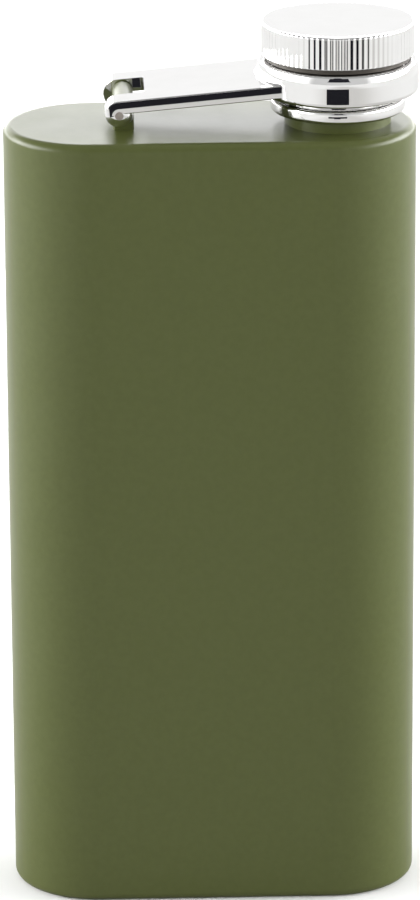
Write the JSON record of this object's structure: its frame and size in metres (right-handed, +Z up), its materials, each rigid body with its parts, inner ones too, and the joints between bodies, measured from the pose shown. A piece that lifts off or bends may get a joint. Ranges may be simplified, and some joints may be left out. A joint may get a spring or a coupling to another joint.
{
  "type": "hip flask",
  "caption": "Slim pocket hip flask with a painted stadium-section body and a fluted chrome screw cap held captive by a hinged arm.",
  "frame": {"origin": "middle of the body's flat base, where it stands", "axes": "+Z up the body, X along its long side with the cap at +X, front face towards -Y"},
  "size_m": [0.0603, 0.025, 0.132],
  "materials": {
    "body_paint": "satin olive powder coat",
    "bare_steel": "turned stainless steel",
    "polished_chrome": "polished",
    "insert_plastic": "moulded",
    "liner_rubber": "soft matt"
  },
  "bodies": {
    "flask": {"body_wrap": "body_paint", "base_plate": "body_paint", "top_plate": "body_paint", "neck_tube": "bare_steel", "neck_collar": "body_paint", "hinge_lug": "body_paint"},
    "arm": {"hinge_arm": "polished_chrome", "hinge_pin": "bare_steel"},
    "cap": {"cap_head": "polished_chrome", "cap_sleeve": "polished_chrome", "cap_insert": "insert_plastic", "cap_liner": "liner_rubber"}
  },
  "joints": [
    {"name": "arm_pivot", "type": "hinge", "parent": "flask", "child": "arm", "pos_m": [-0.0132, 0, 0.12025], "axis": [0, -1, 0], "range_deg": [0, 177]},
    {"name": "cap_turn", "type": "hinge", "parent": "arm", "child": "cap", "pos_m": [0.0186, 0, 0.127], "axis": [0, 0, 1], "continuous": true}
  ]
}
